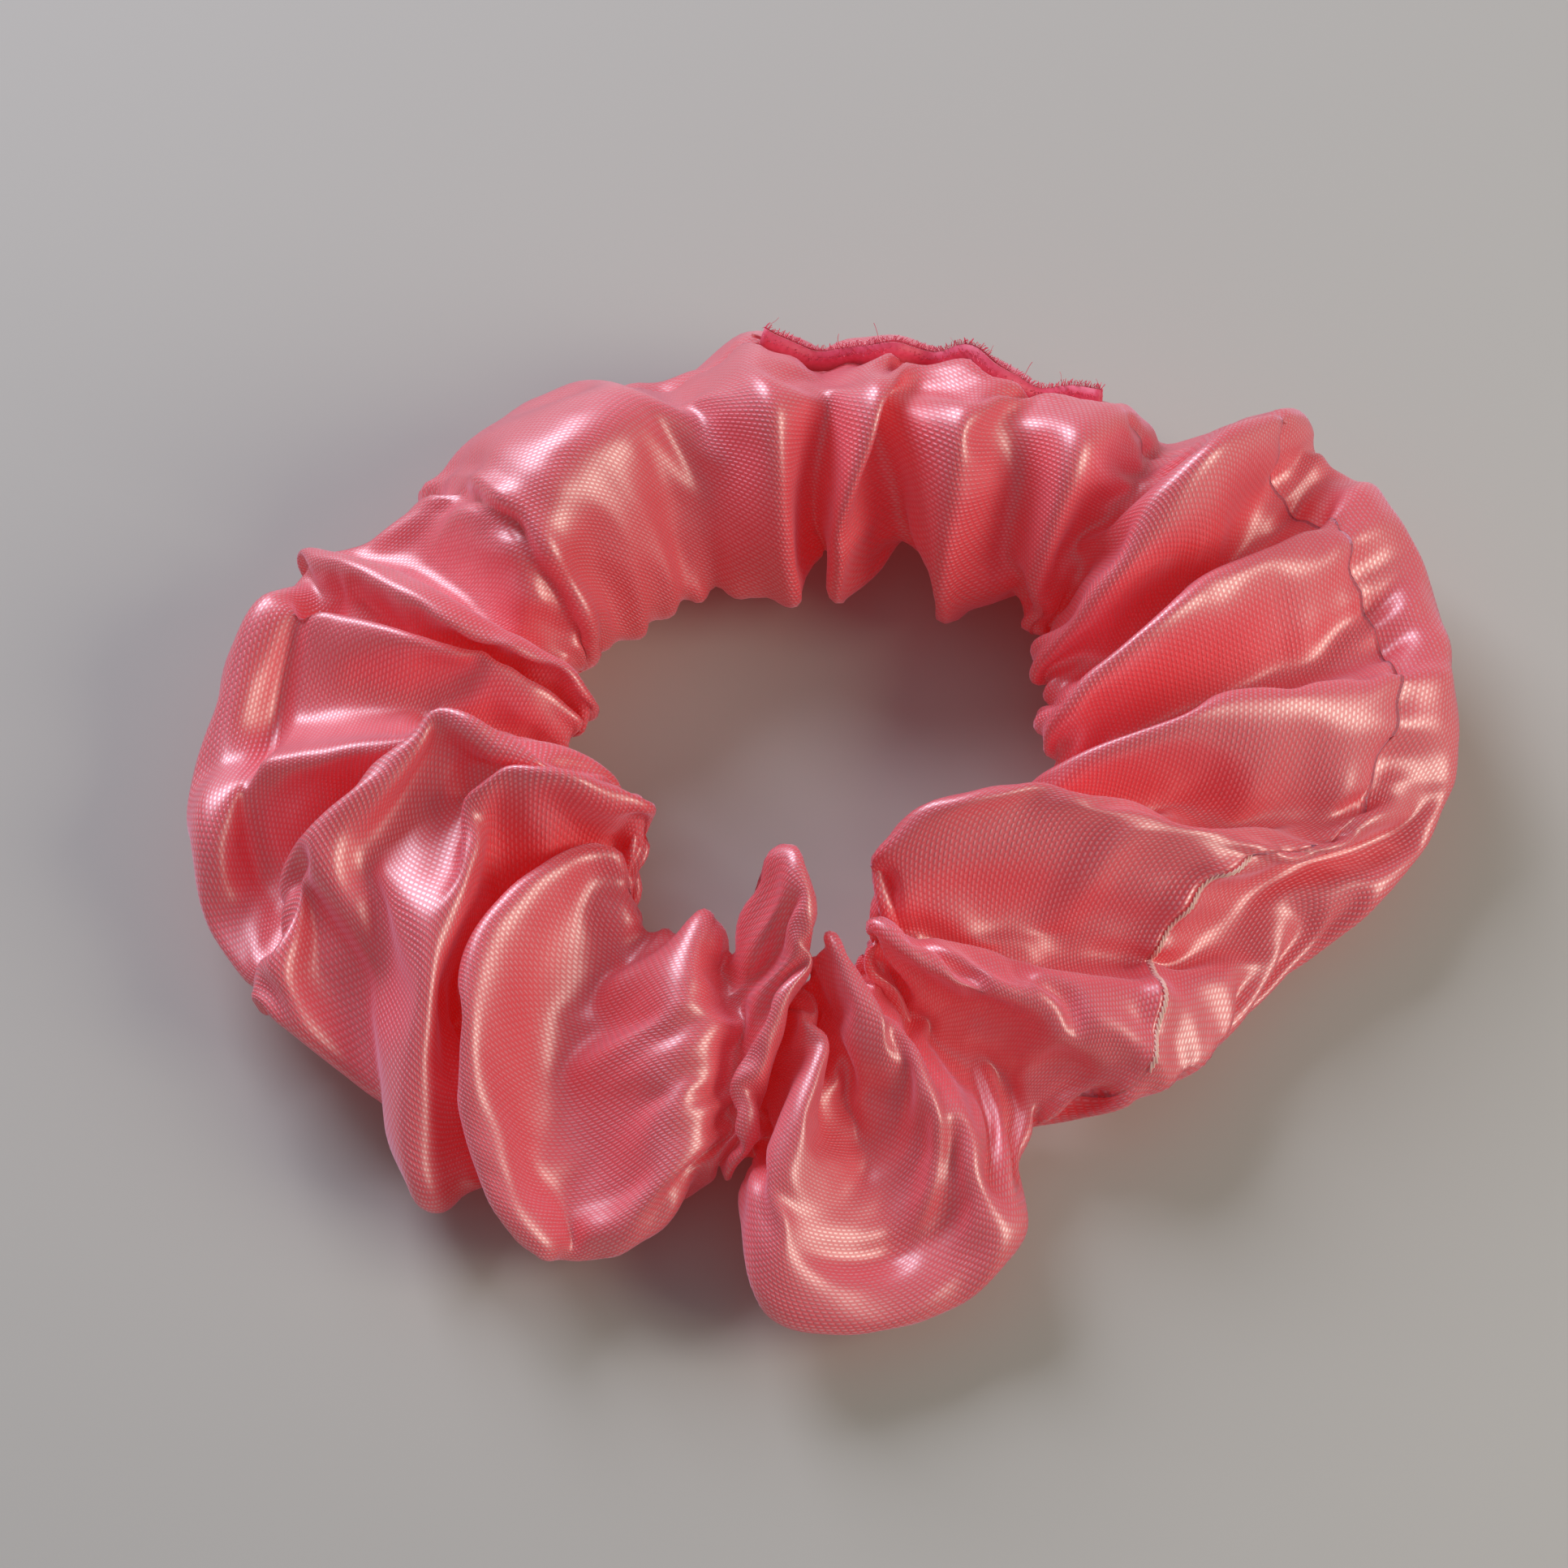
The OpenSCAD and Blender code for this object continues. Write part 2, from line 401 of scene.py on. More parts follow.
    def settle(self, net: np.ndarray) -> np.ndarray:
        """Lets the cloth swell and settle on the table, held lightly along its folds.

        Args:
            net: the gathered tube, in millimetres.

        Returns:
            The settled tube, in millimetres.
        """
        scale = 0.01
        rows, columns = net.shape[:2]
        started = net + self.rng.normal(0, 0.05, net.shape)
        mesh = bpy.data.meshes.new("settling")
        mesh.from_pydata((started.reshape(-1, 3) * scale).tolist(), [], self.quads(rows, columns))
        cloth = placed("settling", mesh)
        scene = bpy.context.scene
        self.hold_folds(cloth, rows, columns)
        table = square_table("settling_table", 2)
        table.modifiers.new("Collision", "COLLISION")
        table.collision.thickness_outer = 0.005
        table.collision.cloth_friction = 5
        self.set_cloth(cloth)
        for step in range(1, self.frames + 1):
            scene.frame_set(step)
        evaluated = cloth.evaluated_get(bpy.context.evaluated_depsgraph_get())
        flat = np.zeros(rows * columns * 3, np.float32)
        evaluated.data.vertices.foreach_get("co", flat)
        for thing in (cloth, table):
            data = thing.data
            bpy.data.objects.remove(thing)
            bpy.data.meshes.remove(data)
        scene.frame_set(1)
        return flat.reshape(rows, columns, 3).astype(float) / scale

    def hold_folds(self, cloth: bpy.types.Object, rows: int, columns: int) -> None:
        """Marks the points that are held while the cloth settles: creases firmly, ridges lightly."""
        group = cloth.vertex_groups.new(name="held")
        seam = self.seam_place()
        for fold, start in zip(FOLDS, self.starts):
            i = int(round(start / self.strip_length * rows)) % rows
            crease = fold.line is Line.CREASE
            for place in (0.0, 0.13, 0.25, 0.37, 0.5):
                j = int(round(((place - seam[i]) % 1.0) * columns)) % columns
                firm = 1.0 if crease and place == 0.0 else (0.9 if crease else 0.75)
                group.add([i * columns + j], firm, "REPLACE")

        calm = cloth.vertex_groups.new(name="calm")
        length = np.arange(rows) * self.strip_length / rows
        for i, share in enumerate(self.between("right_roll", "front_left_lip", length)):
            calm.add(list(range(i * columns, (i + 1) * columns)), float(share), "REPLACE")

    def set_cloth(self, cloth: bpy.types.Object) -> None:
        """Gives the settling cloth the weight and stiffness of satin."""
        modifier = cloth.modifiers.new("Cloth", "CLOTH")
        satin, touch = modifier.settings, modifier.collision_settings
        satin.quality, satin.mass, satin.air_damping = 6, 0.05, 3
        satin.tension_stiffness = satin.compression_stiffness = 40
        satin.shear_stiffness = 20
        satin.bending_model, satin.bending_stiffness, satin.bending_damping = "ANGULAR", 30, 0.5
        satin.tension_damping = satin.compression_damping = satin.shear_damping = 5
        satin.vertex_group_mass, satin.pin_stiffness = "held", 1
        satin.use_pressure, satin.uniform_pressure_force = True, 2
        satin.vertex_group_shrink = "calm"
        satin.shrink_min, satin.shrink_max = -self.growth, self.calm_growth
        touch.use_self_collision, touch.self_distance_min, touch.self_friction = True, 0.006, 5
        touch.distance_min, touch.collision_quality = 0.004, 3
        modifier.point_cache.frame_start, modifier.point_cache.frame_end = 1, self.frames

    # ------------------------------------------------------------ seams and small creases

    def crisp(self, net: np.ndarray) -> np.ndarray:
        """Sharpens the ridges and the creases of the settled cloth."""
        soft = net
        for _ in range(14):
            soft = (soft * 2 + sum(np.roll(soft, k, a) for k in (1, -1) for a in (0, 1))) / 6
        return net + (net - soft) * self.crispness

    def sew(self, net: np.ndarray) -> np.ndarray:
        """Draws the cloth in along its seams, with the puckers beside them.

        Args:
            net: the fine net of the settled cover.

        Returns:
            The net with its seams.
        """
        rows, columns = net.shape[:2]
        normal = normals_of(net)
        across = np.linalg.norm(np.roll(net, -1, 1) - net, axis=-1)
        girth = across.sum(1, keepdims=True)
        walked = np.cumsum(across, 1) - across
        beside_seam = np.minimum(walked, girth - walked)
        length = np.arange(rows) * self.strip_length / rows
        seam_phase = TAU * length / self.pucker_pitch + 1.3 * wandering(rows, 0.16, self.rng)
        pucker = np.sin(seam_phase)[:, None] * np.exp(-beside_seam / self.pucker_reach)
        raised = self.between("right_roll", "fan", length)[:, None]
        groove = bump(beside_seam, 1.3)
        move = groove * (self.ridge * raised - self.furrow * (1 - raised)) + self.pucker * pucker
        along_step = np.linalg.norm(np.roll(net, -1, 0) - net, axis=-1)
        after = np.cumsum(along_step, 0) - along_step
        before = after[-1:] + along_step[-1:] - after
        signed = np.where(after < before, after, -before)
        cross_pucker = np.sin(TAU * walked / 6.5 + 0.8) * np.exp(-np.abs(signed) / 3.0)
        move += -1.0 * bump(signed, 0.8) + 0.7 * bump(signed - 1.9, 1.1) + 0.35 * cross_pucker
        seam = self.finer_seam()[:, None]
        place = (seam + np.arange(columns)[None, :] / columns) % 1.0
        from_elastic = np.minimum(place, 1 - place) * girth
        gather_phase = TAU * length / self.gather_pitch + 1.6 * wandering(rows, 0.14, self.rng)
        move += 0.42 * np.sin(gather_phase)[:, None] * bump(from_elastic, 6.0)
        for crease in CROSS_CREASES:
            move -= self.cross_crease(crease, length, place, girth)
        net = net + normal * move[..., None]
        net[..., 2] = np.maximum(net[..., 2], self.lowest)
        return net

    def cross_crease(self, crease: CrossCrease, length: np.ndarray, place: np.ndarray,
                     girth: np.ndarray) -> np.ndarray:
        """Works out how deep a crease that runs along the strip is at each point.

        Args:
            crease: the crease.
            length: places of the rows along the strip, in millimetres.
            place: places of the points round the tube, as shares.
            girth: length of the way round the tube at each row, in millimetres.

        Returns:
            The depth at each point, in millimetres.
        """
        low, high = self.along(crease.first), self.along(crease.last)
        share = np.clip((length - low) / (high - low), 0, 1)
        middle = (crease.start + (crease.end - crease.start) * share)[:, None]
        ends = np.sin(np.pi * share)[:, None] ** 0.6
        return crease.depth * ends * bump((place - middle) * girth, crease.width)

    def finer_seam(self) -> np.ndarray:
        """Gives the place of the lengthwise seam at each row of the fine net."""
        return finer(self.seam_place()[:, None], self.finer_round, 0)[:, 0]

    def between(self, first: str, last: str, length: np.ndarray) -> np.ndarray:
        """Gives 1 from one fold to another, falling smoothly to 0 past them.

        Args:
            first: name of the fold where the stretch starts.
            last: name of the fold where it ends.
            length: places along the strip, in millimetres.

        Returns:
            The share at each place.
        """
        low, high = self.along(first), self.along(last)
        return 1 / (1 + np.exp(-(length - low) / 1.2)) / (1 + np.exp((length - high) / 1.2))

    # ------------------------------------------------------------ mesh

    @staticmethod
    def quads(rows: int, columns: int) -> list[tuple[int, int, int, int]]:
        """Lists the faces of a closed tube of rows and columns."""
        return [
            (i * columns + j, i * columns + (j + 1) % columns,
             (i + 1) % rows * columns + (j + 1) % columns, (i + 1) % rows * columns + j)
            for i in range(rows)
            for j in range(columns)
        ]

    def open_sheet(self) -> np.ndarray:
        """Opens the tube at the lengthwise seam and turns both seam allowances in.

        Returns:
            The points of the sheet, a row for each step along the strip.
        """
        edge = self.net[:, :1]
        aside = unit(self.net[:, 1:2] - edge)
        behind = [self.net[:, k:k + 1] - self.normals[:, k:k + 1] * self.cloth_apart
                  for k in range(-self.seam_allowance, self.seam_allowance + 1)]
        start = [behind[k] for k in range(2 * self.seam_allowance, self.seam_allowance, -1)]
        end = [behind[k] for k in range(self.seam_allowance - 1, -1, -1)]
        body = [edge + aside * 0.004, self.net[:, 1:], edge - aside * 0.004]
        return np.concatenate([*start, *body, *end], 1)

    def build(self) -> bpy.types.Object:
        """Makes the cover.

        Returns:
            The finished sheet of satin.
        """
        net = self.small_gathers(self.draw_gathers(), 9.0, 0.3)
        net = self.settle(net)
        net = finer(finer(net, self.finer_round, 0), self.finer_across, 1)
        net = self.sew(self.crisp(net))
        self.net = net + self.centre
        self.normals = normals_of(self.net)
        sheet = self.open_sheet()
        rows, columns = sheet.shape[:2]
        grid = np.arange(rows * columns).reshape(rows, columns)
        after = np.roll(grid, -1, 0)
        corners = [grid[:, :-1], after[:, :-1], after[:, 1:], grid[:, 1:]]
        faces = np.stack(corners, -1).reshape(-1, 4)
        mesh = bpy.data.meshes.new("satin_cover")
        mesh.from_pydata((sheet.reshape(-1, 3) * MM).tolist(), [], faces.tolist())
        self.lay_out(mesh, rows, columns)
        self.face_outwards(mesh)
        mesh.shade_smooth()
        self.fold_edges(mesh, columns)
        return placed("satin_cover", mesh)

    def fold_edges(self, mesh: bpy.types.Mesh, columns: int) -> None:
        """Marks the two sewn edges as sharp, where the allowances turn in.

        Args:
            mesh: the cover's mesh.
            columns: its columns, across the strip.
        """
        ends = np.zeros(len(mesh.edges) * 2, np.int32)
        mesh.edges.foreach_get("vertices", ends)
        column = ends.reshape(-1, 2) % columns
        turned = (self.seam_allowance, columns - 1 - self.seam_allowance)
        sharp = (column[:, 0] == column[:, 1]) & np.isin(column[:, 0], turned)
        mesh.attributes.new("sharp_edge", "BOOLEAN", "EDGE").data.foreach_set("value", sharp)

    def face_outwards(self, mesh: bpy.types.Mesh) -> None:
        """Turns the faces over if they look into the tube."""
        mesh.update()
        middle = self.seam_allowance + 6
        face = mesh.polygons[middle]
        if face.normal.dot(Vector(self.normals[0, 6])) < 0:
            mesh.flip_normals()

    def lay_out(self, mesh: bpy.types.Mesh, rows: int, columns: int) -> None:
        """Gives the mesh the flat strip as its UV map, in metres.

        Args:
            mesh: the cover's mesh.
            rows: its rows, along the strip.
            columns: its columns, across the strip.
        """
        length = np.arange(rows) * self.strip_length / rows
        width = np.arange(columns) * self.strip_width / columns
        step = self.strip_length / rows
        low_u = np.repeat(length, columns - 1).reshape(rows, -1)
        low_v = np.tile(width[:-1], (rows, 1))
        high_v = np.tile(width[1:], (rows, 1))
        u = np.stack([low_u, low_u + step, low_u + step, low_u], -1)
        v = np.stack([low_v, low_v, high_v, high_v], -1)
        layer = mesh.uv_layers.new(name="strip")
        layer.data.foreach_set("uv", (np.stack([u, v], -1) * MM).astype(np.float32).ravel())

    def shell(self) -> tuple[list[Vector], list[tuple[int, int, int, int]]]:
        """Gives the closed tube in millimetres, its faces looking out, thinned for measuring."""
        net = self.net[::self.finer_round, ::self.finer_across]
        rows, columns = net.shape[:2]
        faces = self.quads(rows, columns)
        a, b, _, d = (net.reshape(-1, 3)[k] for k in faces[0])
        if np.dot(np.cross(b - a, d - a), self.normals[0, 0]) < 0:
            faces = [tuple(reversed(face)) for face in faces]
        return [Vector(p) for p in net.reshape(-1, 3)], faces

    # ------------------------------------------------------------ lines for the sewing

    def seam_rows(self, first: str, last: str) -> np.ndarray:
        """Lists the rows of the fine net from one fold to another."""
        rows = len(self.net)
        low, high = (int(self.along(n) / self.strip_length * rows) for n in (first, last))
        return np.arange(low, high + (rows if high <= low else 0)) % rows


# ---------------------------------------------------------------- nodes


class Bench:
    """Makes and links the nodes of one tree."""

    def __init__(self, tree: bpy.types.NodeTree) -> None:
        """Keeps the tree that the nodes go in."""
        self.tree = tree

    def node(self, kind: str, settings: dict[str, Any] | None = None,
             values: dict[str | int, Any] | None = None) -> bpy.types.Node:
        """Makes one node.

        Args:
            kind: the node's type.
            settings: its properties, set before its sockets.
            values: its inputs by name or number, each a constant or what it is linked to.

        Returns:
            The node.
        """
        made = self.tree.nodes.new(kind)
        for name, value in (settings or {}).items():
            setattr(made, name, value)
        for name, value in (values or {}).items():
            self.feed(made.inputs[name], value)
        return made

    def feed(self, socket: bpy.types.NodeSocket, value: Any) -> None:
        """Links an input to what feeds it, or sets it to a constant."""
        if isinstance(value, Wire):
            self.tree.links.new(value.socket, socket)
        elif isinstance(value, bpy.types.NodeSocket):
            self.tree.links.new(value, socket)
        else:
            socket.default_value = value

    def wire(self, kind: str, output: str | int, settings: dict[str, Any] | None = None,
             values: dict[str | int, Any] | None = None) -> "Wire":
        """Makes one node and gives the named output."""
        return Wire(self, self.node(kind, settings, values).outputs[output])

    def blend(self, share: "Wire", low: Any, high: Any) -> "Wire":
        """Mixes two colours.

        Args:
            share: how much of the second colour there is.
            low: the first colour.
            high: the second colour.

        Returns:
            The mixed colour.
        """
        low, high = (c if isinstance(c, Wire) else (*c, 1) for c in (low, high))
        return self.wire("ShaderNodeMix", 2, {"data_type": "RGBA"}, {0: share, 6: low, 7: high})


class Wire:
    """A shader value that takes part in Python arithmetic."""

    def __init__(self, bench: Bench, socket: bpy.types.NodeSocket) -> None:
        """Keeps the socket that the value comes from."""
        self.bench, self.socket = bench, socket

    def math(self, operation: str, *values: Any) -> "Wire":
        """Adds one Math node on this value and others."""
        return self.bench.wire("ShaderNodeMath", 0, {"operation": operation}, dict(enumerate(values)))

    def __add__(self, other: Any) -> "Wire":
        """Adds."""
        return self.math("ADD", self, other)

    def __sub__(self, other: Any) -> "Wire":
        """Subtracts."""
        return self.math("SUBTRACT", self, other)

    def __mul__(self, other: Any) -> "Wire":
        """Multiplies."""
        return self.math("MULTIPLY", self, other)

    def __truediv__(self, other: Any) -> "Wire":
        """Divides."""
        return self.math("DIVIDE", self, other)

    def __rsub__(self, other: float) -> "Wire":
        """Takes this value from a number."""
        return self.math("SUBTRACT", other, self)

    __radd__, __rmul__ = __add__, __mul__

    def floor(self) -> "Wire":
        """Rounds down."""
        return self.math("FLOOR", self)

    def fraction(self) -> "Wire":
        """Keeps what is past the whole number."""
        return self.math("FRACT", self)

    def clamped(self) -> "Wire":
        """Keeps the value from 0 to 1."""
        return self.math("MINIMUM", self.math("MAXIMUM", self, 0.0), 1.0)


def new_material(name: str) -> tuple[bpy.types.Material, Bench, bpy.types.Node]:
    """Starts a material.

    Args:
        name: the material's name.

    Returns:
        The material, the bench for its nodes and its main shader.
    """
    material = bpy.data.materials.new(name)
    material.use_nodes = True
    shader = next(n for n in material.node_tree.nodes if n.type == "BSDF_PRINCIPLED")
    return material, Bench(material.node_tree), shader


@dataclass(frozen=True)
class SatinFinish:
    """Coral satin: long shiny floats over a duller ground, with rows of tie-down points, a painted pale-pink
    sheen on the floats and a faint painted red glow.
    """

    colour: Triple = (0.82, 0.080, 0.100)
    deep: Triple = (0.76, 0.022, 0.026)
    # painted sheen: pale pink laid into the base colour of the floats
    painted_float_sheen: Triple = (0.98, 0.56, 0.62)
    # painted red glow, emitted by the satin to lift its shadows
    painted_glow: Triple = (0.95, 0.012, 0.006)
    sheen: Triple = (1.0, 0.78, 1.0)
    row: float = 0.36
    point: float = 0.46
    offset: float = 0.4
    roughness: float = 0.45

    def material(self) -> bpy.types.Material:
        """Makes the satin material."""
        material, bench, shader = new_material("coral_satin")
        strip = bench.wire("ShaderNodeUVMap", 0, {"uv_map": "strip"})
        apart = bench.node("ShaderNodeSeparateXYZ", values={0: strip})
        along, across = (Wire(bench, apart.outputs[k]) / MM for k in (0, 1))
        rows = across / self.row
        points = along / self.point + rows.floor() * self.offset
        x = points.fraction() - 0.5
        y = rows.fraction() - 0.5
        dash = ((1.0 - x * x * 5.0) * (1.0 - y * y * 9.0)).clamped()
        place = bench.wire("ShaderNodeTexCoord", "Object")
        cloud = bench.wire("ShaderNodeTexNoise", 0, values={"Vector": place, "Scale": 60.0, "Detail": 3.0})
        slub = bench.wire(
            "ShaderNodeTexNoise", 0,
            values={"Vector": bench.wire("ShaderNodeMapping", 0, values={0: strip, 3: (300, 9000, 1)}),
                    "Scale": 1.0, "Detail": 2.0},
        )
        shade = ((cloud - 0.38) * 1.0 + (slub - 0.5) * 0.5).clamped()
        ground = bench.blend(shade, self.colour, self.deep)
        # Painted sheen: the floats' base colour is lightened toward pale pink, standing in for the light that
        # they catch.
        shine = (dash * (0.15 + slub * 0.45)).clamped()
        colour = bench.blend(shine, ground, self.painted_float_sheen)
        lift = dash * 1.0 + slub * 0.5
        dents = bench.wire(
            "ShaderNodeBump", 0, values={"Strength": 1.0, "Distance": 0.00010, "Height": lift}
        )
        tree = material.node_tree
        tree.links.new(colour.socket, shader.inputs["Base Color"])
        roughness = (1.0 - dash) * 0.30 + slub * 0.10 + (self.roughness - 0.16)
        tree.links.new(roughness.socket, shader.inputs["Roughness"])
        tree.links.new(dents.socket, shader.inputs["Normal"])
        shader.inputs["Anisotropic"].default_value = 0.6
        shader.inputs["Sheen Weight"].default_value = 0.60
        shader.inputs["Sheen Roughness"].default_value = 0.35
        shader.inputs["Sheen Tint"].default_value = (*self.sheen, 1)
        shader.inputs["Specular IOR Level"].default_value = 1.0
        shader.inputs["IOR"].default_value = 1.62
        shader.inputs["Specular Tint"].default_value = (1.0, 0.82, 1.0, 1)
        tree.links.new((dash * 0.65 + 0.35).socket, shader.inputs["Coat Weight"])
        shader.inputs["Coat Roughness"].default_value = 0.40
        shader.inputs["Coat IOR"].default_value = 3.0
        # Painted glow: a faint red emission lifts the satin's shadows, standing in for light that passes
        # through the cloth.
        shader.inputs["Emission Color"].default_value = (*self.painted_glow, 1)
        shader.inputs["Emission Strength"].default_value = 0.125
        return material


@dataclass(frozen=True)
class ThreadFinish:
    """Twisted polyester thread or loose satin yarn."""

    name: str
    colour: Triple
    dark: Triple
    roughness: float = 0.42
    sheen: float = 0.5

    def material(self) -> bpy.types.Material:
        """Makes the thread material."""
        material, bench, shader = new_material(self.name)
        place = bench.wire("ShaderNodeTexCoord", "Object")
        fleck = bench.wire("ShaderNodeTexNoise", 0, values={"Vector": place, "Scale": 2500.0, "Detail": 2.0})
        colour = bench.blend(((fleck - 0.4) * 2.2).clamped(), self.colour, self.dark)
        material.node_tree.links.new(colour.socket, shader.inputs["Base Color"])
        shader.inputs["Roughness"].default_value = self.roughness
        shader.inputs["Sheen Weight"].default_value = self.sheen
        return material


@dataclass(frozen=True)
class ElasticFinish:
    """White braided elastic."""

    colour: Triple = (0.86, 0.84, 0.80)
    dark: Triple = (0.62, 0.60, 0.56)

    def material(self) -> bpy.types.Material:
        """Makes the elastic material, with the slanted yarns of its braid."""
        material, bench, shader = new_material("braided_elastic")
        braid = bench.wire("ShaderNodeUVMap", 0, {"uv_map": "braid"})
        apart = bench.node("ShaderNodeSeparateXYZ", values={0: braid})
        along, across = (Wire(bench, apart.outputs[k]) / MM for k in (0, 1))
        rib = (across / 0.85).fraction() - 0.5
        slant = ((along + (rib * rib) * 1.6) / 0.7).fraction() - 0.5
        groove = (slant * slant * 4.0).clamped()
        # Painted shade: the grooves between the braid's yarns are darkened in the base colour.
        colour = bench.blend(groove, self.colour, self.dark)
        material.node_tree.links.new(colour.socket, shader.inputs["Base Color"])
        bumps = bench.wire(
            "ShaderNodeBump", 0, values={"Strength": 0.6, "Distance": 0.0001, "Height": 1.0 - groove}
        )
        material.node_tree.links.new(bumps.socket, shader.inputs["Normal"])
        shader.inputs["Roughness"].default_value = 0.8
        return material


# ---------------------------------------------------------------- stitches and yarns


class Pattern:
    """A geometry tree that repeats a small shape along a line, with named inputs for its sizes."""

    def __init__(self, name: str, sizes: dict[str, tuple[str, float | int]]) -> None:
        """Starts the tree.

        Args:
            name: the tree's name.
            sizes: each input's name, with its socket type and its value.
        """
        self.tree = bpy.data.node_groups.new(name, "GeometryNodeTree")
        face = self.tree.interface
        face.new_socket(name="Geometry", in_out="INPUT", socket_type="NodeSocketGeometry")
        face.new_socket(name="Geometry", in_out="OUTPUT", socket_type="NodeSocketGeometry")
        self.sockets = {
            key: face.new_socket(name=key, in_out="INPUT", socket_type=kind).identifier
            for key, (kind, _) in sizes.items()
        }
        face_in = face.new_socket(name="Finish", in_out="INPUT", socket_type="NodeSocketMaterial")
        self.finish_socket = face_in.identifier
        self.sizes = sizes
        self.bench = Bench(self.tree)
        self.inputs = self.tree.nodes.new("NodeGroupInput").outputs

    def share(self, size: str, factor: float) -> bpy.types.NodeSocket:
        """Gives a share of a named size."""
        values = {0: self.inputs[size], 1: factor}
        return self.bench.node("ShaderNodeMath", {"operation": "MULTIPLY"}, values).outputs[0]

    def bent_thread(self, ends: Any, thickness: str, steps: int, sides: int) -> bpy.types.NodeSocket:
        """Shapes a short length of thread along a bow.

        Args:
            ends: X and Z of the bow's start, middle and end, each a number or a socket.
            thickness: name of the input that gives the thread's thickness.
            steps: steps along the bow.
            sides: sides of the thread.

        Returns:
            The thread.
        """
        node = self.bench.node
        start, middle, end = (node("ShaderNodeCombineXYZ", values={0: x, 2: z}).outputs[0] for x, z in ends)
        bow = node(
            "GeometryNodeCurveQuadraticBezier",
            values={"Resolution": steps, "Start": start, "Middle": middle, "End": end},
        )
        ring = node(
            "GeometryNodeCurvePrimitiveCircle", {"mode": "RADIUS"},
            {"Resolution": sides, "Radius": self.share(thickness, 0.5)},
        )
        values = {"Curve": bow.outputs[0], "Profile Curve": ring.outputs[0], "Fill Caps": True}
        return node("GeometryNodeCurveToMesh", values=values).outputs[0]

    def close(self, **values: Any) -> None:
        """Sets the shape on the points and ends the tree with real geometry in its material.

        Args:
            values: the inputs of the node that sets one shape on each point.
        """
        shapes = self.bench.node("GeometryNodeInstanceOnPoints", values=values)
        real = self.bench.node("GeometryNodeRealizeInstances", values={0: shapes.outputs[0]})
        dressed = self.bench.node(
            "GeometryNodeSetMaterial", values={"Geometry": real.outputs[0], "Material": self.inputs["Finish"]}
        )
        out = self.tree.nodes.new("NodeGroupOutput")
        self.tree.links.new(dressed.outputs[0], out.inputs[0])

    def lay(self, name: str, line: np.ndarray, facing: np.ndarray, finish: bpy.types.Material,
            closed: bool = False) -> bpy.types.Object:
        """Repeats the shape along a line and turns the result into a plain mesh.

        Args:
            name: name of the piece.
            line: points of the line, in millimetres.
            facing: the way that the shapes face at each point.
            finish: the material.
            closed: whether the line ends where it began.

        Returns:
            The finished piece.
        """
        mesh = bpy.data.meshes.new(name + "_line")
        count = len(line)
        edges = [(k, (k + 1) % count) for k in range(count if closed else count - 1)]
        mesh.from_pydata((line * MM).tolist(), edges, [])
        facing_data = mesh.attributes.new("facing", "FLOAT_VECTOR", "POINT")
        facing_data.data.foreach_set("vector", facing.astype(np.float32).ravel())
        guide = placed(name + "_guide", mesh)
        modifier = guide.modifiers.new("Pattern", "NODES")
        modifier.node_group = self.tree
        for key, (_, value) in self.sizes.items():
            modifier[self.sockets[key]] = value
        modifier[self.finish_socket] = finish
        depsgraph = bpy.context.evaluated_depsgraph_get()
        depsgraph.update()
        made = bpy.data.meshes.new_from_object(guide.evaluated_get(depsgraph), depsgraph=depsgraph)
        made.name = name
        bpy.data.objects.remove(guide)
        bpy.data.meshes.remove(mesh)
        made.shade_smooth()
        return placed(name, made)


def spaced_points(pattern: Pattern, pitch: str) -> tuple[bpy.types.NodeSocket, bpy.types.NodeSocket]:
    """Spaces points along the line of a pattern.

    Args:
        pattern: the pattern under way.
        pitch: name of the input that gives the distance between points.

    Returns:
        The spaced points and a rotation that sets a shape's X along the line and its Z out of it.
    """
    bench = pattern.bench
    curve = bench.node("GeometryNodeMeshToCurve", values={0: pattern.inputs["Geometry"]})
    even = bench.node(
        "GeometryNodeResampleCurve", {"mode": "LENGTH"},
        {"Curve": curve.outputs[0], "Length": pattern.inputs[pitch]},
    )
    tangent = bench.node("GeometryNodeInputTangent")
    facing = bench.node("GeometryNodeInputNamedAttribute", {"data_type": "FLOAT_VECTOR"}, {"Name": "facing"})
    along = bench.node("FunctionNodeAlignRotationToVector", {"axis": "X"}, {"Vector": tangent.outputs[0]})
    upright = bench.node(
        "FunctionNodeAlignRotationToVector", {"axis": "Z", "pivot_axis": "X"},
        {"Rotation": along.outputs[0], "Vector": facing.outputs["Attribute"]},
    )
    return even.outputs[0], upright.outputs[0]


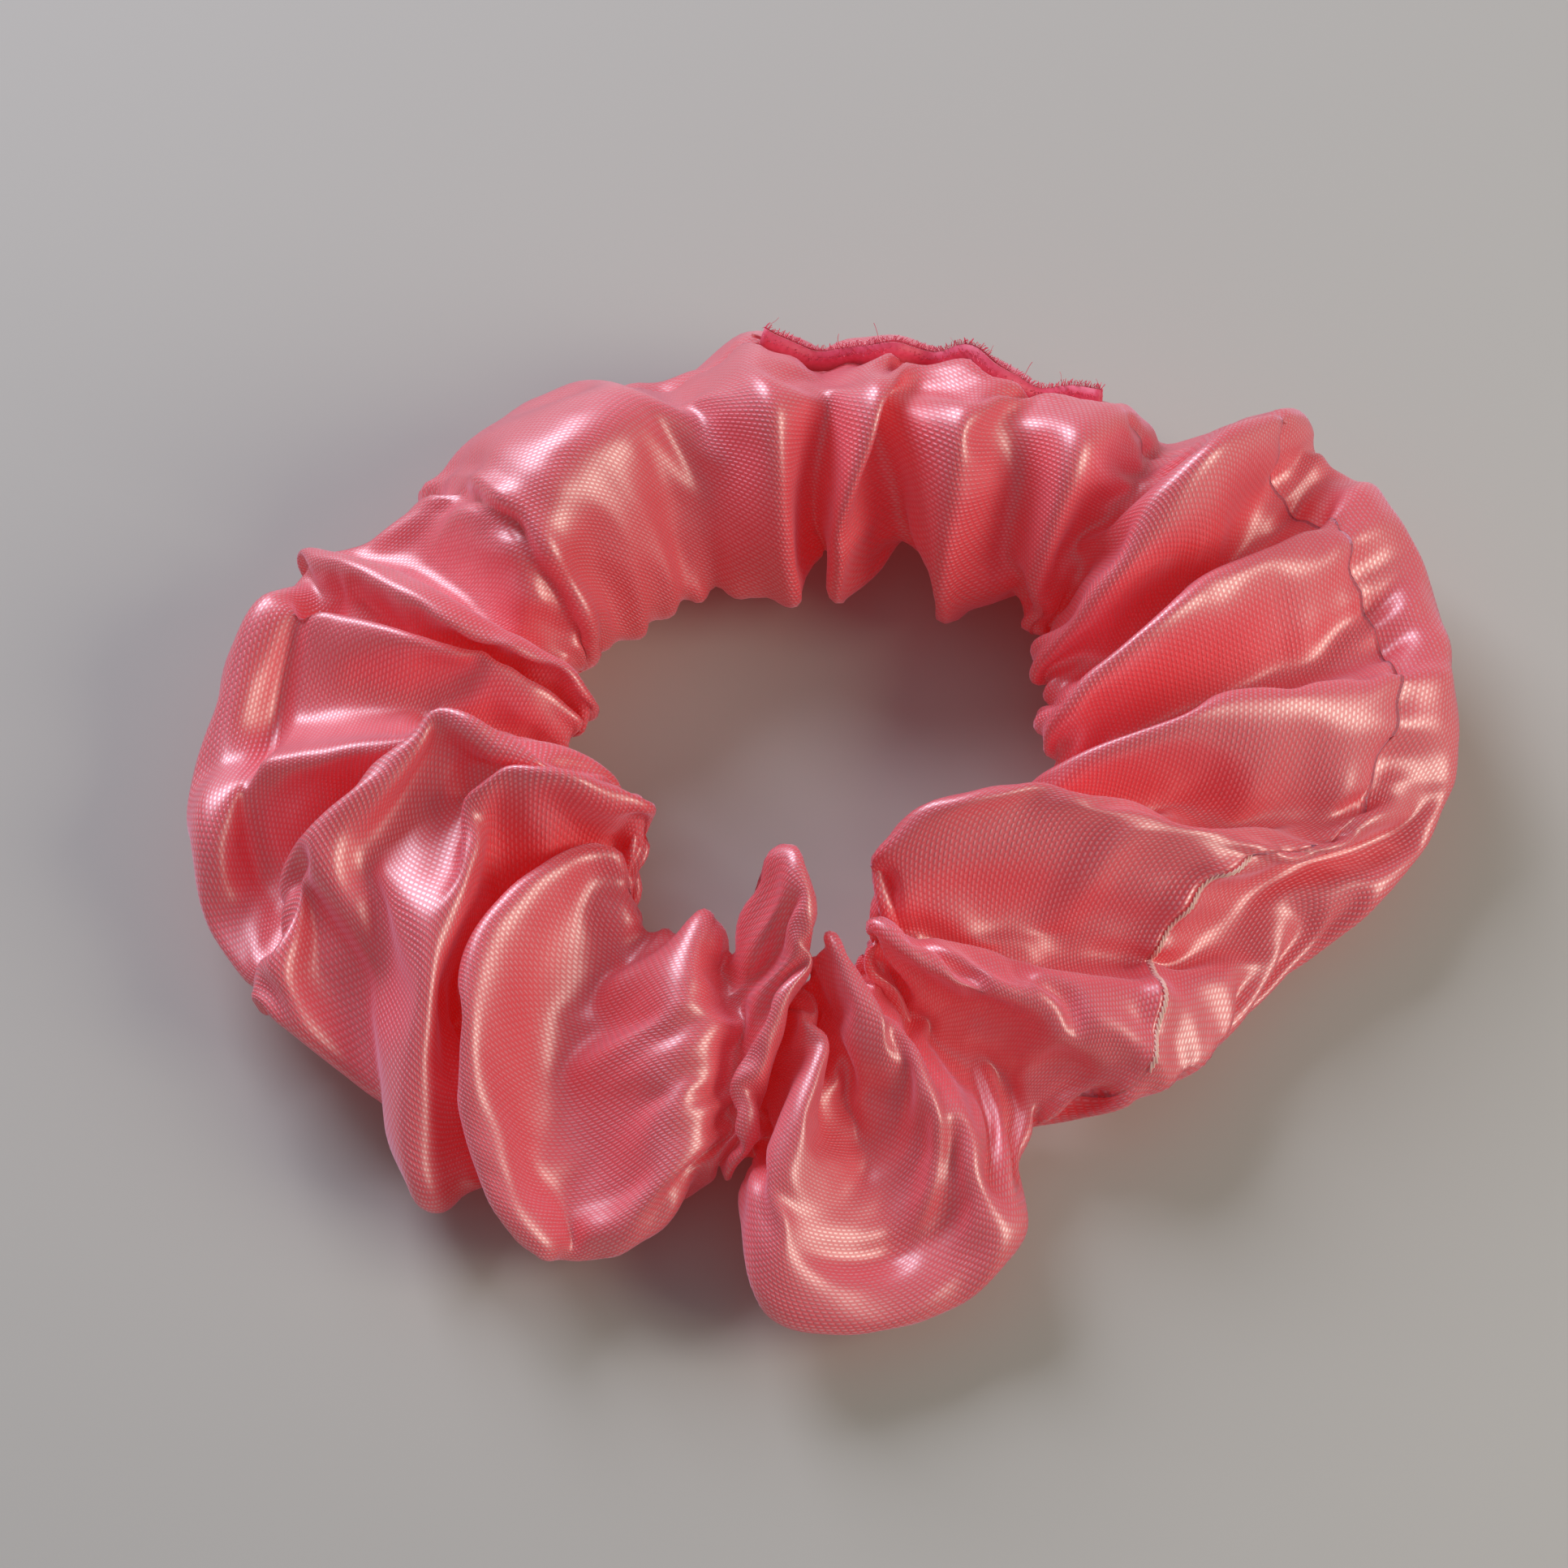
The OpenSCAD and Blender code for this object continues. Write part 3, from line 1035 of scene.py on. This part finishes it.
@dataclass(frozen=True)
class StitchRow:
    """A row of stitches, each a short length of thread between two needle holes."""

    pitch: float = 2.4
    length: float = 1.7
    thickness: float = 0.34
    slant: float = 0.0
    arch: float = 0.18

    def pattern(self) -> Pattern:
        """Builds the tree that sews the row."""
        pattern = Pattern("stitch_row", {
            "Pitch": ("NodeSocketFloat", self.pitch * MM),
            "Stitch Length": ("NodeSocketFloat", self.length * MM),
            "Thread": ("NodeSocketFloat", self.thickness * MM),
            "Slant": ("NodeSocketFloat", math.radians(self.slant)),
            "Arch": ("NodeSocketFloat", self.arch * MM),
        })
        bench = pattern.bench
        points, upright = spaced_points(pattern, "Pitch")
        length = "Stitch Length"
        rise, sink = pattern.share("Arch", 3.0), pattern.share("Arch", -1.0)
        ends = ((pattern.share(length, -0.5), sink), (0.0, rise), (pattern.share(length, 0.5), sink))
        thread = pattern.bent_thread(ends, "Thread", 7, 7)
        turn = bench.node(
            "FunctionNodeAxisAngleToRotation", values={"Axis": (0, 0, 1), "Angle": pattern.inputs["Slant"]}
        )
        turned = bench.node(
            "FunctionNodeRotateRotation", {"rotation_space": "LOCAL"}, {0: upright, 1: turn.outputs[0]}
        )
        pattern.close(Points=points, Instance=thread, Rotation=turned.outputs[0])
        return pattern


@dataclass(frozen=True)
class LooseYarns:
    """Yarns that have come out of a raw edge, each curling its own way."""

    pitch: float = 0.05
    length: float = 1.1
    thickness: float = 0.09
    spread: float = 0.5
    seed: int = 5
    curl: tuple[tuple[float, float], ...] = ((0.0, -0.15), (0.05, 0.7), (0.4, 1.0))

    def pattern(self) -> Pattern:
        """Builds the tree that sets the yarns along the edge."""
        pattern = Pattern("loose_yarns", {
            "Pitch": ("NodeSocketFloat", self.pitch * MM),
            "Yarn Length": ("NodeSocketFloat", self.length * MM),
            "Yarn": ("NodeSocketFloat", self.thickness * MM),
            "Spread": ("NodeSocketFloat", self.spread),
            "Seed": ("NodeSocketInt", self.seed),
        })
        bench = pattern.bench
        points, upright = spaced_points(pattern, "Pitch")
        lean = self.lean(pattern)
        turned = bench.node(
            "FunctionNodeRotateRotation", {"rotation_space": "LOCAL"}, {0: upright, 1: lean}
        )
        sizes = {2: 0.45, 3: 1.15, "Seed": pattern.inputs["Seed"]}
        size = bench.node("FunctionNodeRandomValue", {"data_type": "FLOAT"}, sizes)
        ends = [[pattern.share("Yarn Length", part) for part in end] for end in self.curl]
        yarn = pattern.bent_thread(ends, "Yarn", 5, 4)
        pattern.close(Points=points, Instance=yarn, Rotation=turned.outputs[0], Scale=size.outputs[1])
        return pattern

    @staticmethod
    def lean(pattern: Pattern) -> bpy.types.NodeSocket:
        """Gives each yarn its own lean, as a rotation."""
        bench = pattern.bench
        seed = bench.node("ShaderNodeMath", {"operation": "ADD"}, {0: pattern.inputs["Seed"], 1: 1.0})
        draw = bench.node(
            "FunctionNodeRandomValue", {"data_type": "FLOAT_VECTOR"},
            {0: (-1, -1, -3), 1: (1, 1, 3), "Seed": seed.outputs[0]},
        )
        values = {0: draw.outputs[0], "Scale": pattern.inputs["Spread"]}
        wide = bench.node("ShaderNodeVectorMath", {"operation": "SCALE"}, values)
        return bench.node("FunctionNodeEulerToRotation", values={0: wide.outputs[0]}).outputs[0]


def ribbon(name: str, middle: np.ndarray, wide: np.ndarray, thick: np.ndarray,
           outline: np.ndarray, closed: bool) -> bpy.types.Object:
    """Sweeps a flat outline along a line.

    Args:
        name: name of the piece.
        middle: points of the line, in millimetres.
        wide: the way that the outline's first axis points, at each point.
        thick: the way that its second axis points.
        outline: the outline's points, in millimetres.
        closed: whether the line ends where it began.

    Returns:
        The ribbon, a closed solid.
    """
    count, sides = len(middle), len(outline)
    points = middle[:, None] + outline[None, :, :1] * wide[:, None] + outline[None, :, 1:] * thick[:, None]
    rows = count if closed else count - 1
    faces = [
        (i * sides + j, i * sides + (j + 1) % sides,
         (i + 1) % count * sides + (j + 1) % sides, (i + 1) % count * sides + j)
        for i in range(rows)
        for j in range(sides)
    ]
    if not closed:
        faces += [tuple(reversed(range(sides))), tuple((count - 1) * sides + j for j in range(sides))]
    mesh = bpy.data.meshes.new(name)
    mesh.from_pydata((points.reshape(-1, 3) * MM).tolist(), [], faces)
    mesh.update()
    first = mesh.polygons[0]
    if first.normal.dot(first.center - Vector(middle[0]) * MM) < 0:
        mesh.flip_normals()
    mesh.shade_smooth()
    return placed(name, mesh)


def joined(name: str, parts: list[bpy.types.Object]) -> bpy.types.Object:
    """Joins parts into one piece.

    Args:
        name: name of the piece.
        parts: the parts, which are used up.

    Returns:
        The piece.
    """
    with bpy.context.temp_override(active_object=parts[0], selected_editable_objects=parts):
        bpy.ops.object.join()
    parts[0].name = parts[0].data.name = name
    return parts[0]


def smoothed(line: np.ndarray, passes: int) -> np.ndarray:
    """Evens out a closed line."""
    for _ in range(passes):
        line = (np.roll(line, 1, 0) + line + np.roll(line, -1, 0)) / 3
    return line


def unit(vectors: np.ndarray) -> np.ndarray:
    """Makes each vector one long."""
    return vectors / (np.linalg.norm(vectors, axis=-1, keepdims=True) + 1e-9)


@dataclass
class Elastic:
    """The flat braided elastic inside the cover, its ends lapped and bar-tacked."""

    width: float = 5.6
    thickness: float = 0.8
    ribs: int = 7
    lap: float = 14.0
    steps: int = 120
    usual_reach: float = 24.0

    def route(self, cover: SatinCover) -> tuple[np.ndarray, np.ndarray, np.ndarray]:
        """Finds a way for the elastic that stays inside the cover.

        Args:
            cover: the shape of the cover.

        Returns:
            The middle of the elastic, the way its width points, as long as the room for it
            allows, and the way its thickness points.
        """
        shell = BVHTree.FromPolygons(*cover.shell())
        turns = np.radians(np.arange(0, 360, 360 / self.steps))
        outward = np.stack([np.cos(turns), np.sin(turns), 0 * turns], -1)
        up = np.array([0, 0, 1.0])
        spots = np.array([(reach, height) for reach in range(19, 35) for height in range(3, 15)], float)
        points = cover.centre + outward[:, None] * spots[:, :1] + up * spots[:, 1:]
        rooms = np.array([[self.room_at(shell, point) for point in row] for row in points])
        cost = 60.0 * (rooms < 0.5) + 8.0 * np.maximum(1.5 - rooms, 0) - np.minimum(rooms, 3.0)
        cost = cost + 0.1 * np.abs(spots[:, 0] - self.usual_reach)
        apart = np.abs(spots[:, None] - spots[None]).sum(-1)
        hop = 0.9 * apart + 200.0 * (apart > 3)
        chosen = self.cheapest_round(cost, hop)
        safe = points[np.arange(self.steps), chosen]
        middle = smoothed(safe, 2)
        room = np.array([self.room_at(shell, point) for point in middle])
        middle = np.where(smoothed((room < 1.1).astype(float)[:, None], 1) > 0.2, safe, middle)
        room = np.array([self.room_at(shell, point) for point in middle])
        room = np.minimum(room, np.minimum(np.roll(room, 1), np.roll(room, -1)))
        half = np.clip(room - 0.9, 0.3, self.width / 2) / (self.width / 2)
        return middle, np.array([0, 0, 1.0]) * half[:, None], outward

    @staticmethod
    def room_at(shell: BVHTree, point: np.ndarray) -> float:
        """Measures how far a point is inside the cover, under 0 where it is outside."""
        near, normal, _, distance = shell.find_nearest(Vector(point))
        return distance if (Vector(point) - near).dot(normal) < 0 else -distance

    @staticmethod
    def cheapest_round(cost: np.ndarray, hop: np.ndarray) -> np.ndarray:
        """Picks one spot in each direction so that the whole round costs least.

        Args:
            cost: the cost of each spot in each direction.
            hop: the cost of going from one spot to another.

        Returns:
            The number of the chosen spot in each direction.
        """
        twice = np.concatenate([cost, cost])
        total, came = twice[0], []
        for row in twice[1:]:
            way = total[None, :] + hop
            came.append(way.argmin(1))
            total = way.min(1) + row
        spot, path = int(total.argmin()), []
        for back in reversed(came):
            path.append(spot)
            spot = int(back[spot])
        path = np.array([spot, *reversed(path)])
        half, quarter = len(cost), len(cost) // 2
        return np.roll(path[quarter:quarter + half], quarter)

    def outline(self, width: float) -> np.ndarray:
        """Draws the ribbed cross-section of the braid."""
        across = np.linspace(-0.5, 0.5, self.ribs * 4 + 1) * width
        rib = np.abs(np.sin(np.pi * self.ribs * (across / width + 0.5)))
        half = self.thickness / 2 * (0.72 + 0.28 * rib)
        half[0] = half[-1] = self.thickness * 0.12
        top = np.stack([across, half], -1)
        low = np.stack([across[::-1], -half[::-1]], -1)
        return np.concatenate([top, low])

    def build(self, cover: SatinCover) -> tuple[bpy.types.Object, tuple[Any, ...]]:
        """Makes the elastic.

        Args:
            cover: the shape of the cover.

        Returns:
            The elastic and the stretch where its ends lap.
        """
        middle, wide, thick = self.route(cover)
        outline = self.outline(self.width)
        band = ribbon("braided_elastic", middle, wide, thick, outline, True)
        middle, wide, thick = self.lapped_end(middle, wide, thick)
        over = middle + thick * self.thickness
        end = ribbon("lapped_end", over, wide * 0.9, thick, outline, False)
        return joined("braided_elastic", [band, end]), (over, wide, thick)

    def lapped_end(self, middle: np.ndarray, wide: np.ndarray, thick: np.ndarray) -> tuple[Any, ...]:
        """Lists the stretch of the route where the ends lap."""
        step = np.linalg.norm(np.roll(middle, -1, 0) - middle, axis=-1).mean()
        turn = np.degrees(np.arctan2(middle[:, 1] - opening_centre()[1], middle[:, 0] - opening_centre()[0]))
        first = int(np.argmin(np.abs(((turn - 170) + 180) % 360 - 180)))
        pick = (first + np.arange(int(self.lap / step))) % len(middle)
        return middle[pick], wide[pick], thick[pick]


# ---------------------------------------------------------------- studio


@dataclass(frozen=True)
class Lamp:
    """A soft lamp, placed in metres."""

    name: str
    place: Triple
    size: float
    power: float
    colour: Triple

    def build(self) -> None:
        """Hangs the lamp, aimed at the scrunchie."""
        light = bpy.data.lights.new(self.name, "AREA")
        light.size, light.energy, light.color = self.size, self.power, self.colour
        lamp = placed(self.name, light)
        lamp.location = self.place
        aim = Vector((0, 0, 0.010)) - Vector(self.place)
        lamp.rotation_euler = aim.to_track_quat("-Z", "Y").to_euler()


@dataclass(frozen=True)
class Studio:
    """The pale table, the soft light and the camera."""

    target: Triple = (-0.0040, 0.0030, 0.010)
    distance: float = 0.286
    elevation: float = 60.0
    lens: float = 74.5
    table_size: float = 3.0
    table_colour: Triple = (0.52, 0.53, 0.48)
    sky: Triple = (0.93, 0.90, 1.0)
    sky_strength: float = 0.20
    lamps: tuple[Lamp, ...] = (
        Lamp("window", (-0.34, 0.50, 0.42), 0.40, 4.3, (0.88, 0.845, 1.0)),
        Lamp("room", (0.46, -0.14, 0.30), 0.28, 1.5, (1.0, 0.90, 0.76)),
    )

    def build(self) -> None:
        """Sets the table, the lights and the camera."""
        table = square_table("table", self.table_size / 2)
        material, _, shader = new_material("pale_table")
        shader.inputs["Base Color"].default_value = (*self.table_colour, 1)
        shader.inputs["Roughness"].default_value = 0.9
        table.data.materials.append(material)
        for lamp in self.lamps:
            lamp.build()
        world = bpy.data.worlds.new("sky")
        world.use_nodes = True
        back = world.node_tree.nodes["Background"]
        back.inputs[0].default_value = (*self.sky, 1)
        back.inputs[1].default_value = self.sky_strength
        bpy.context.scene.world = world
        bpy.context.scene.view_settings.view_transform = "Standard"
        self.place_camera()

    def place_camera(self) -> None:
        """Stands the camera in front of the scrunchie, looking down at it."""
        camera = bpy.data.cameras.new("camera")
        camera.lens, camera.clip_start = self.lens, 0.01
        stand = placed("camera", camera)
        rise = math.radians(self.elevation)
        back = Vector((0, -math.cos(rise), math.sin(rise)))
        stand.location = Vector(self.target) + back * self.distance
        stand.rotation_euler = (-back).to_track_quat("-Z", "Y").to_euler()
        bpy.context.scene.camera = stand


# ---------------------------------------------------------------- the scrunchie


@dataclass(frozen=True)
class RawEdge:
    """The frayed edge of the turning gap: two plies of cloth with yarns working loose."""

    height: float = 2.0
    ply: float = 0.16
    apart: float = 0.34
    fuzz: LooseYarns = LooseYarns(pitch=0.06, length=0.55, thickness=0.07, spread=0.6)
    stray: LooseYarns = LooseYarns(pitch=3.6, length=1.9, thickness=0.06, spread=0.9, seed=9)


@dataclass
class Scrunchie:
    """All the pieces of the scrunchie, each standing in for solids of the imported model."""

    cover: SatinCover = field(default_factory=SatinCover)
    elastic: Elastic = field(default_factory=Elastic)
    raw_edge: RawEdge = RawEdge()
    thread: ThreadFinish = ThreadFinish("sewing_thread", (0.82, 0.20, 0.22), (0.66, 0.09, 0.10))
    bright_thread: ThreadFinish = ThreadFinish(
        "silky_thread", (1.0, 0.68, 0.58), (0.98, 0.46, 0.40), 0.3, 0.5
    )
    yarn: ThreadFinish = ThreadFinish("satin_yarn", (0.90, 0.10, 0.20), (0.80, 0.045, 0.11), 0.5, 0.5)
    sunk: float = 0.42
    ridge_sunk: float = 0.02

    def __post_init__(self) -> None:
        """Makes the material of each thread once."""
        self.sewing = self.thread.material()
        self.silky = self.bright_thread.material()
        self.frayed = self.yarn.material()

    def stretch_with(self, piece: bpy.types.Object, slot: str, *nodes: str) -> None:
        """Bakes a piece's placement into its mesh and hides the solids that it stands for.

        Args:
            piece: the finished piece.
            slot: not used.
            nodes: the solids that it stands for.
        """
        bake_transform(piece)
        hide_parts(*nodes)
        log.info("%s: %d faces, for %d solids", piece.name, len(piece.data.polygons), len(nodes))

    def build(self) -> None:
        """Makes every piece in order."""
        sheet = self.cover.build()
        sheet.data.materials.append(SatinFinish().material())
        gathers = sorted(n for n in frame["nodes"] if n.startswith("gather_"))
        self.build_elastic()
        on_cover = [*self.build_gap(), self.build_seam(), self.build_closing_seam()]
        self.stretch_with(sheet, "cover_satin", *gathers)

    def build_elastic(self) -> None:
        """Makes the elastic, its lapped end and its bar tack."""
        band, (middle, wide, thick) = self.elastic.build(self.cover)
        finish = ElasticFinish().material()
        self.braid_map(band)
        band.data.materials.append(finish)
        self.stretch_with(band, "elastic", "elastic_band")
        row = StitchRow(pitch=0.55, length=0.5, thickness=0.3)
        lines = []
        for k in (2, 3, 4):
            at = min(k * len(middle) // 6, len(middle) - 1)
            offsets = np.linspace(-2.0, 2.0, 9)[:, None]
            lines.append(middle[at] + wide[at] * offsets + thick[at] * 0.5)
        facing = np.tile(thick[len(middle) // 2], (9, 1))
        sewn = row.pattern()
        tacks = [sewn.lay(f"tack_{k}", line, facing, self.sewing) for k, line in enumerate(lines)]
        tack = joined("elastic_tack", tacks)
        self.stretch_with(tack, "sewing_thread", "elastic_bar_tack")

    @staticmethod
    def braid_map(band: bpy.types.Object) -> None:
        """Gives the elastic a map of its length and width, in metres."""
        mesh = band.data
        layer = mesh.uv_layers.new(name="braid")
        centre = opening_centre() * MM
        for loop in mesh.loops:
            spot = mesh.vertices[loop.vertex_index].co
            turn = math.atan2(spot.y - centre[1], spot.x - centre[0])
            layer.data[loop.index].uv = (turn * 0.022, spot.z)

    def seam_line(self, rows: np.ndarray, lift: float) -> tuple[np.ndarray, np.ndarray]:
        """Gives points and facing along the lengthwise seam.

        Args:
            rows: rows of the fine net.
            lift: height over the cloth, in millimetres.

        Returns:
            The points, in millimetres, and the way they face.
        """
        facing = self.cover.normals[rows, 0]
        return self.cover.net[rows, 0] + facing * lift, facing

    def build_gap(self) -> list[bpy.types.Object]:
        """Makes the raw edge and the stitches of the turning gap, at the back.

        Returns:
            The raw edge and the stitches.
        """
        rows = self.cover.seam_rows("back_1", "back_4")
        line, facing = self.seam_line(rows, -0.2)
        line = self.eased(line, 5)
        rise = unit(self.eased(unit(facing + np.array([0.0, 0.3, 0.8])), 8))
        along = unit(np.gradient(line, axis=0))
        aside = unit(np.cross(along, rise))
        edge = self.raw_edge
        flutter = 0.25 * np.sin(np.arange(len(line)) * 0.37)[:, None] * aside
        half, plies = edge.ply / 2, (-0.5, 0.5)
        strips = []
        for ply in plies:
            outline = np.array([(-half, 0.0), (half, 0.0), (half, edge.height), (-half, edge.height)])
            outline[:, 0] += ply * edge.apart
            strip = ribbon("raw_ply", line + flutter * ply, aside, rise, outline, False)
            strip.data.materials.append(self.frayed)
            strips.append(strip)
        top = line + rise * edge.height
        fuzz = edge.fuzz.pattern().lay("fuzz", top, rise, self.frayed)
        below, outwards = line + rise * edge.height * 0.6, unit(rise + aside * 1.2)
        side = edge.fuzz.pattern().lay("side_fuzz", below, outwards, self.frayed)
        stray = edge.stray.pattern().lay("stray", top, rise, self.frayed)
        raw = joined("frayed_edge", [*strips, fuzz, side, stray])
        self.stretch_with(raw, "raw_edge", "frayed_edge_02", "frayed_edge_03", "frayed_edge_04")
        foot = line - aside * 0.35 + rise * 0.7
        stitches = StitchRow().pattern().lay("gap_stitching", foot, -aside, self.sewing)
        self.stretch_with(stitches, "sewing_thread", "gap_stitches_02", "gap_stitches_03", "gap_stitches_04")
        return [raw, stitches]

    @staticmethod
    def eased(line: np.ndarray, passes: int) -> np.ndarray:
        """Evens out an open line, its ends held."""
        for _ in range(passes):
            inside = (line[:-2] + line[1:-1] + line[2:]) / 3
            line = np.concatenate([line[:1], inside, line[-1:]])
        return line

    def build_seam(self) -> bpy.types.Object:
        """Makes the stitches of the lengthwise seam, raised at the lower right."""
        rows = self.cover.seam_rows
        plain = StitchRow(pitch=2.2, length=1.8, thickness=0.24, arch=0.06).pattern()
        slanted = StitchRow(pitch=0.5, length=1.0, thickness=0.20, slant=22, arch=0.05).pattern()
        parts = [
            pattern.lay(name, *self.seam_line(rows(first, last), -depth), finish)
            for name, first, last, depth, pattern, finish in (
                ("seam_hidden", "fan", "back_1", self.sunk, plain, self.sewing),
                ("seam_groove", "back_4", "right_roll", self.sunk, plain, self.sewing),
                ("seam_ridge", "right_roll", "fan", self.ridge_sunk, slanted, self.silky),
            )
        ]
        seam = joined("lengthwise_seam", parts)
        self.stretch_with(seam, "sewing_thread", "lengthwise_seam_thread")
        return seam

    def build_closing_seam(self) -> bpy.types.Object:
        """Makes the stitches that join the ends of the tube."""
        facing = self.cover.normals[0]
        line = self.cover.net[0] - facing * self.sunk
        row = StitchRow(pitch=2.1, length=1.7, thickness=0.24, arch=0.06)
        seam = row.pattern().lay("closing_seam", line, facing, self.sewing, closed=True)
        self.stretch_with(seam, "sewing_thread", "closing_seam_thread")
        return seam


def main() -> None:
    """Builds the scrunchie and its setting."""
    Studio().build()
    Scrunchie().build()


if __name__ == "__main__":
    main()
